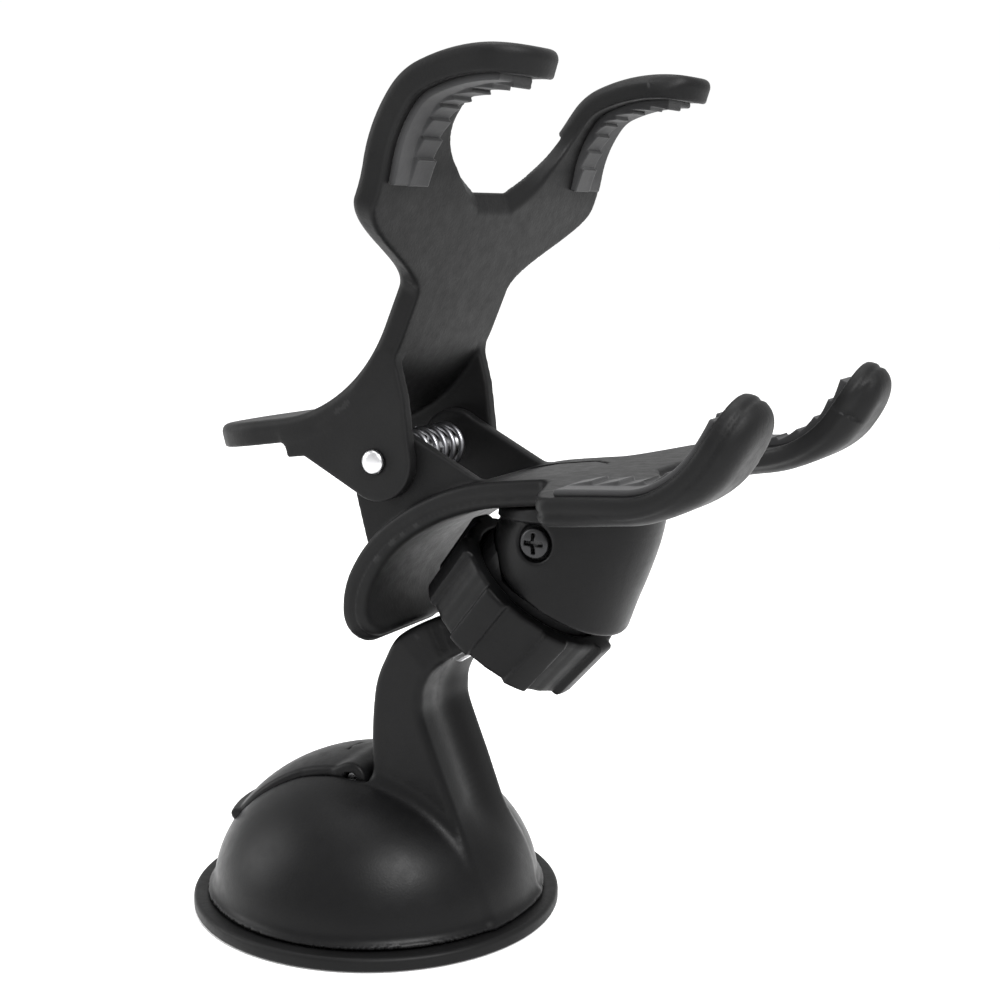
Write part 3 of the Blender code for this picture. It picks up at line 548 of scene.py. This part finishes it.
def plastic(name, dark, light, rough, grain, bump, sheen=0.0, metallic=0.0, specular=0.5, worn=0.0,
            streak=0.0):
    """Moulded or metal finish: broad tone changes, fine grain, handling marks and paler worn edges."""
    mat = bpy.data.materials.new(name)
    mat.use_nodes = True
    tree = mat.node_tree
    shader = tree.nodes["Principled BSDF"]
    shader.inputs["Metallic"].default_value = metallic
    shader.inputs["Specular IOR Level"].default_value = specular
    shader.inputs["Sheen Weight"].default_value = sheen
    where = node(tree, "ShaderNodeTexCoord").outputs["Object"]
    broad = node(tree, "ShaderNodeTexNoise", Scale=60.0, Detail=4.0, Roughness=0.55)
    fine = node(tree, "ShaderNodeTexNoise", Scale=grain, Detail=3.0, Roughness=0.6)
    marks = node(tree, "ShaderNodeTexNoise", Scale=420.0, Detail=6.0, Roughness=0.7)
    stretch = node(tree, "ShaderNodeMapping")
    stretch.inputs["Scale"].default_value = (1.0, 1.0 - 0.85 * streak, 1.0)
    tree.links.new(where, stretch.inputs["Vector"])
    for texture in (broad, fine):
        tree.links.new(where, texture.inputs["Vector"])
    tree.links.new(stretch.outputs["Vector"], marks.inputs["Vector"])
    tone = ramp(tree, broad.outputs["Fac"], 0.3, 0.7, 0.0, 1.0)
    colour = node(tree, "ShaderNodeMix", data_type="RGBA")
    tree.links.new(tone, colour.inputs["Factor"])
    colour.inputs["A"].default_value = (*dark, 1)
    colour.inputs["B"].default_value = (*light, 1)
    result = colour.outputs["Result"]
    if worn:
        edge = node(tree, "ShaderNodeNewGeometry").outputs["Pointiness"]
        mask = ramp(tree, edge, 0.53, 0.62, 0.0, worn)
        edged = node(tree, "ShaderNodeMix", data_type="RGBA")
        tree.links.new(mask, edged.inputs["Factor"])
        tree.links.new(result, edged.inputs["A"])
        edged.inputs["B"].default_value = (*(min(1, c * 3.2 + 0.01) for c in light), 1)
        result = edged.outputs["Result"]
    tree.links.new(result, shader.inputs["Base Color"])
    tree.links.new(ramp(tree, marks.outputs["Fac"], 0.3, 0.7, rough[0], rough[1]), shader.inputs["Roughness"])
    relief = node(tree, "ShaderNodeBump", Strength=bump, Distance=0.00006)
    tree.links.new(fine.outputs["Fac"], relief.inputs["Height"])
    tree.links.new(relief.outputs["Normal"], shader.inputs["Normal"])
    return mat


DOME = plastic("dome_plastic", (0.0026, 0.0026, 0.0028), (0.0036, 0.0036, 0.0038), (0.34, 0.44), 2600, 0.35,
               specular=0.11, worn=0.2)
BLACK = plastic("black_plastic", (0.0026, 0.0026, 0.0028), (0.0039, 0.0039, 0.0041), (0.38, 0.5), 2200, 0.3,
                specular=0.11, worn=0.25)
GRAINED = plastic("grained_plastic", (0.0039, 0.0039, 0.0041), (0.0059, 0.0059, 0.0060), (0.44, 0.56), 1800,
                  0.6, specular=0.11, worn=0.25)
RUBBER = plastic("cup_rubber_looks", (0.0033, 0.0033, 0.0034), (0.0052, 0.0052, 0.0054), (0.42, 0.55), 1500,
                 0.3, specular=0.11)
PAD = plastic("pad_rubber_looks", (0.0208, 0.0208, 0.0216), (0.0288, 0.0288, 0.0296), (0.6, 0.75), 1500, 0.5,
              sheen=0.1, specular=0.11)
SPRING = plastic("spring_steel_looks", (0.16, 0.16, 0.17), (0.24, 0.24, 0.25), (0.28, 0.42), 1200, 0.25,
                 metallic=1.0)
STEEL = plastic("steel_looks", (0.42, 0.42, 0.43), (0.56, 0.56, 0.57), (0.22, 0.4), 1200, 0.25, metallic=1.0,
                streak=1.0)
OXIDE = plastic("black_screw_looks", (0.012, 0.012, 0.013), (0.03, 0.03, 0.031), (0.25, 0.42), 1600, 0.4,
                metallic=0.85)
NYLON = plastic("nylon_looks", (0.50, 0.49, 0.45), (0.60, 0.59, 0.55), (0.4, 0.5), 900, 0.2)


def dress(obj, mat, slot, body, *cad):
    obj.data.materials.clear()
    obj.data.materials.append(mat)
    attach(obj, body)
    if cad:
        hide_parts(*cad)
    return obj


# ---------------------------------------------------------------- pieces

dress(surface("foot_cover", cover_field, (-32.4, -32.4, 1.9), (32.4, 32.4, 60.0)),
      DOME, "black_moulding", "base", "base_cover")
dress(surface("cam_lever", lever_field, (-31.2, -16.0, 12.6), (5.0, 16.0, 29.6), 0.35),
      BLACK, "black_moulding", "lever", "suction_lever")
dress(surface("ribbed_nut", nut_field, (11.0, -17.5, 41.0), (50.0, 17.5, 78.0), 0.36),
      BLACK, "black_moulding", "nut", "lock_nut")
dress(surface("head_cover", shell_field, (22.0, -16.0, 52.0), (60.0, 16.0, 84.0), 0.4),
      DOME, "black_moulding", "head", "head_shell")
dress(surface("lower_clip", lower_field, (-2.0, -39.6, 48.0), (89.5, 39.6, 106.0)),
      GRAINED, "satin_moulding", "head", "lower_jaw")
dress(surface("upper_clip", upper_field, (-31.6, -39.4, 76.0), (52.0, 39.4, 153.0)),
      GRAINED, "satin_moulding", "upper_jaw", "upper_jaw")

for side, word in ((-1, "near"), (1, "far")):
    low, high = (-37.0, -24.8) if side < 0 else (24.8, 37.0)
    pad = surface(f"upper_grip_{word}", pad_field(UPPER, (UPPER_T, 1), side, 74.3, 8, 4.2),
                  (20.0, low, 124.0), (50.0, high, 150.0), 0.25)
    dress(pad, PAD, "pad_rubber", "upper_jaw", f"upper_pad_{word}")
    pad = surface(f"lower_grip_{word}", pad_field(LOWER, (0.0, -1), side, 70.5, 7, 4.3),
                  (50.0, low, 82.0), (87.0, high, 106.0), 0.25)
    dress(pad, PAD, "pad_rubber", "head", f"lower_pad_{word}")

rim = [(0, 5.9), (5.2, 5.9), (6.0, 5.2), (7.0, 2.4), (9.0, 1.8), (28.4, 1.8), (29.4, 2.4)]
rim += [(33.2 + 0.8 * sin(radians(a)), 1.7 + 0.8 * cos(radians(a))) for a in range(0, 91, 15)]
rim += [(33.4 + 0.6 * cos(radians(a)), 0.6 - 0.6 * sin(radians(a))) for a in range(0, 91, 15)] + [(0, 0)]
dress(turned("cup", rim, count=160), RUBBER, "cup_rubber", "base", "suction_cup")

flat = Matrix.Translation((PIN[0] * MM, 0, PIN[1] * MM)) @ Matrix.Rotation(radians(90), 4, "X")
head = [(0.0, 17.1), (0.8, 17.08), (1.4, 16.98), (1.8, 16.8), (2.05, 16.5), (2.1, 16.0), (1.5, 15.98)]
dress(turned("rivet", head + [(r, -z) for r, z in reversed(head)], flat, 48), STEEL, "bright_steel", "head",
      "hinge_rivet")


def screw_field(side):
    def field(x, y, z):
        u, v, w = x - SCREW[0], z - SCREW[1], y * side - 12.9
        r = np.hypot(u, v)
        top = w - 1.35 + 0.05 * r * r
        headpiece = meet(r - 2.6, np.maximum(top, -w), 0.5)
        slot = np.maximum(join(np.abs(u) - 0.32 - 0.08 * (w - 0.3), np.abs(v) - 0.32 - 0.08 * (w - 0.3), 0.3),
                          np.maximum(r - 1.75, 0.15 - w))
        headpiece = cut(headpiece, slot, 0.15)
        shank = np.maximum(r - 1.0, np.abs(w + 3.9) - 4.1)
        return join(headpiece, shank, 0.2)
    return field


for side, word in ((-1, "near"), (1, "far")):
    low, high = (-15.0, -4.0) if side < 0 else (4.0, 15.0)
    dress(surface(f"head_screw_{word}", screw_field(side), (36.0, low, 70.0), (42.8, high, 77.0), 0.12),
          OXIDE, "black_screw", "head", f"shell_screw_{word}")


def spring_coil():
    curve = bpy.data.curves.new("coil", "CURVE")
    curve.dimensions = "3D"
    curve.bevel_depth = WIRE_R * MM
    curve.bevel_resolution = 4
    curve.use_fill_caps = True
    steps = 32
    start = -COIL_TURNS * COIL_PITCH / 2
    points = [(PIN[0] + 2.0, start - 0.2, PIN[1] - 8.4)]
    for i in range(COIL_TURNS * steps + 1):
        a = 2 * pi * i / steps + pi
        points.append((PIN[0] + COIL_R * cos(a), start + COIL_PITCH * i / steps, PIN[1] + COIL_R * sin(a)))
    points.append((PIN[0] - 6.9, -start + 0.2, PIN[1] + 2.6))
    line = curve.splines.new("POLY")
    line.points.add(len(points) - 1)
    for spot, p in zip(line.points, points):
        spot.co = (p[0] * MM, p[1] * MM, p[2] * MM, 1)
    obj = bpy.data.objects.new("coil_spring", curve)
    bpy.context.scene.collection.objects.link(obj)
    bpy.context.view_layer.update()
    mesh = bpy.data.meshes.new_from_object(obj.evaluated_get(bpy.context.evaluated_depsgraph_get()))
    bpy.data.objects.remove(obj)
    mesh.shade_smooth()
    obj = bpy.data.objects.new("coil_spring", mesh)
    bpy.context.scene.collection.objects.link(obj)
    return obj


dress(spring_coil(), SPRING, "bright_steel", "head", "torsion_spring")

LOOKS = {"guide_plate": BLACK, "cover_screw_1": OXIDE, "cover_screw_2": OXIDE, "cover_screw_3": OXIDE,
         "pull_post": STEEL, "lever_pin": STEEL, "ball_stud": STEEL, "socket_liner": NYLON,
         "threaded_collar": BLACK, "inlay_plate": GRAINED}
for name, mat in LOOKS.items():
    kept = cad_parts[name]
    for place in kept.material_slots:
        place.material = mat


# ---------------------------------------------------------------- stage, lights and camera

def area(name, spot, target, size, power, tint=(1, 1, 1)):
    lamp = bpy.data.lights.new(name, "AREA")
    lamp.shape = "RECTANGLE"
    lamp.size, lamp.size_y = size
    lamp.energy = power
    lamp.color = tint
    obj = bpy.data.objects.new(name, lamp)
    obj.location = spot
    obj.rotation_euler = (Vector(target) - Vector(spot)).to_track_quat("-Z", "Y").to_euler()
    bpy.context.scene.collection.objects.link(obj)


floor_mesh = bpy.data.meshes.new("studio_floor")
reach, ring = 6.0, 48
edge = [2 * pi * k / ring for k in range(ring)]
floor_mesh.from_pydata([(reach * cos(a), reach * sin(a), -0.0002) for a in edge], [], [tuple(range(ring))])
floor = bpy.data.objects.new("studio_floor", floor_mesh)
bpy.context.scene.collection.objects.link(floor)
pale = plastic("pale_floor", (0.86, 0.86, 0.86), (0.88, 0.88, 0.88), (0.6, 0.7), 300, 0.05)
pale.node_tree.nodes["Principled BSDF"].inputs["Emission Color"].default_value = (1, 1, 1, 1)
pale.node_tree.nodes["Principled BSDF"].inputs["Emission Strength"].default_value = 0.2
floor_mesh.materials.append(pale)
floor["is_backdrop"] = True

world = bpy.data.worlds.new("studio")
bpy.context.scene.world = world
world.use_nodes = True
world.node_tree.nodes["Background"].inputs["Color"].default_value = (1, 1, 1, 1)
world.node_tree.nodes["Background"].inputs["Strength"].default_value = 1.02

area("key", (0.55, -0.35, 0.75), (0.02, 0, 0.06), (0.35, 0.35), 13.0)
area("top", (-0.1, 0.1, 0.9), (0.02, 0, 0.06), (0.6, 0.6), 5.0)
area("side", (-0.7, -0.3, 0.35), (0.0, 0, 0.07), (0.4, 0.5), 3.5)

eye = bpy.data.cameras.new("camera")
eye.lens, eye.sensor_width = 60.12, 36.0
eye.clip_start = 0.01
camera = bpy.data.objects.new("camera", eye)
bpy.context.scene.collection.objects.link(camera)
right, up = Vector((0.8781, 0.4784, 0.0084)), Vector((-0.0888, 0.1457, 0.9853))
ahead = Vector((-0.4702, 0.866, -0.1704))
turn = Matrix((right, up, -ahead)).transposed().to_4x4()
camera.matrix_world = Matrix.Translation((0.1618, -0.2509, 0.1268)) @ turn
bpy.context.scene.camera = camera
bpy.context.scene.view_settings.view_transform = "Standard"

boxes = {"cad": cad_box, "visual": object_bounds()}
{key: [[float(v) for v in point] for point in box] for key, box in boxes.items()}
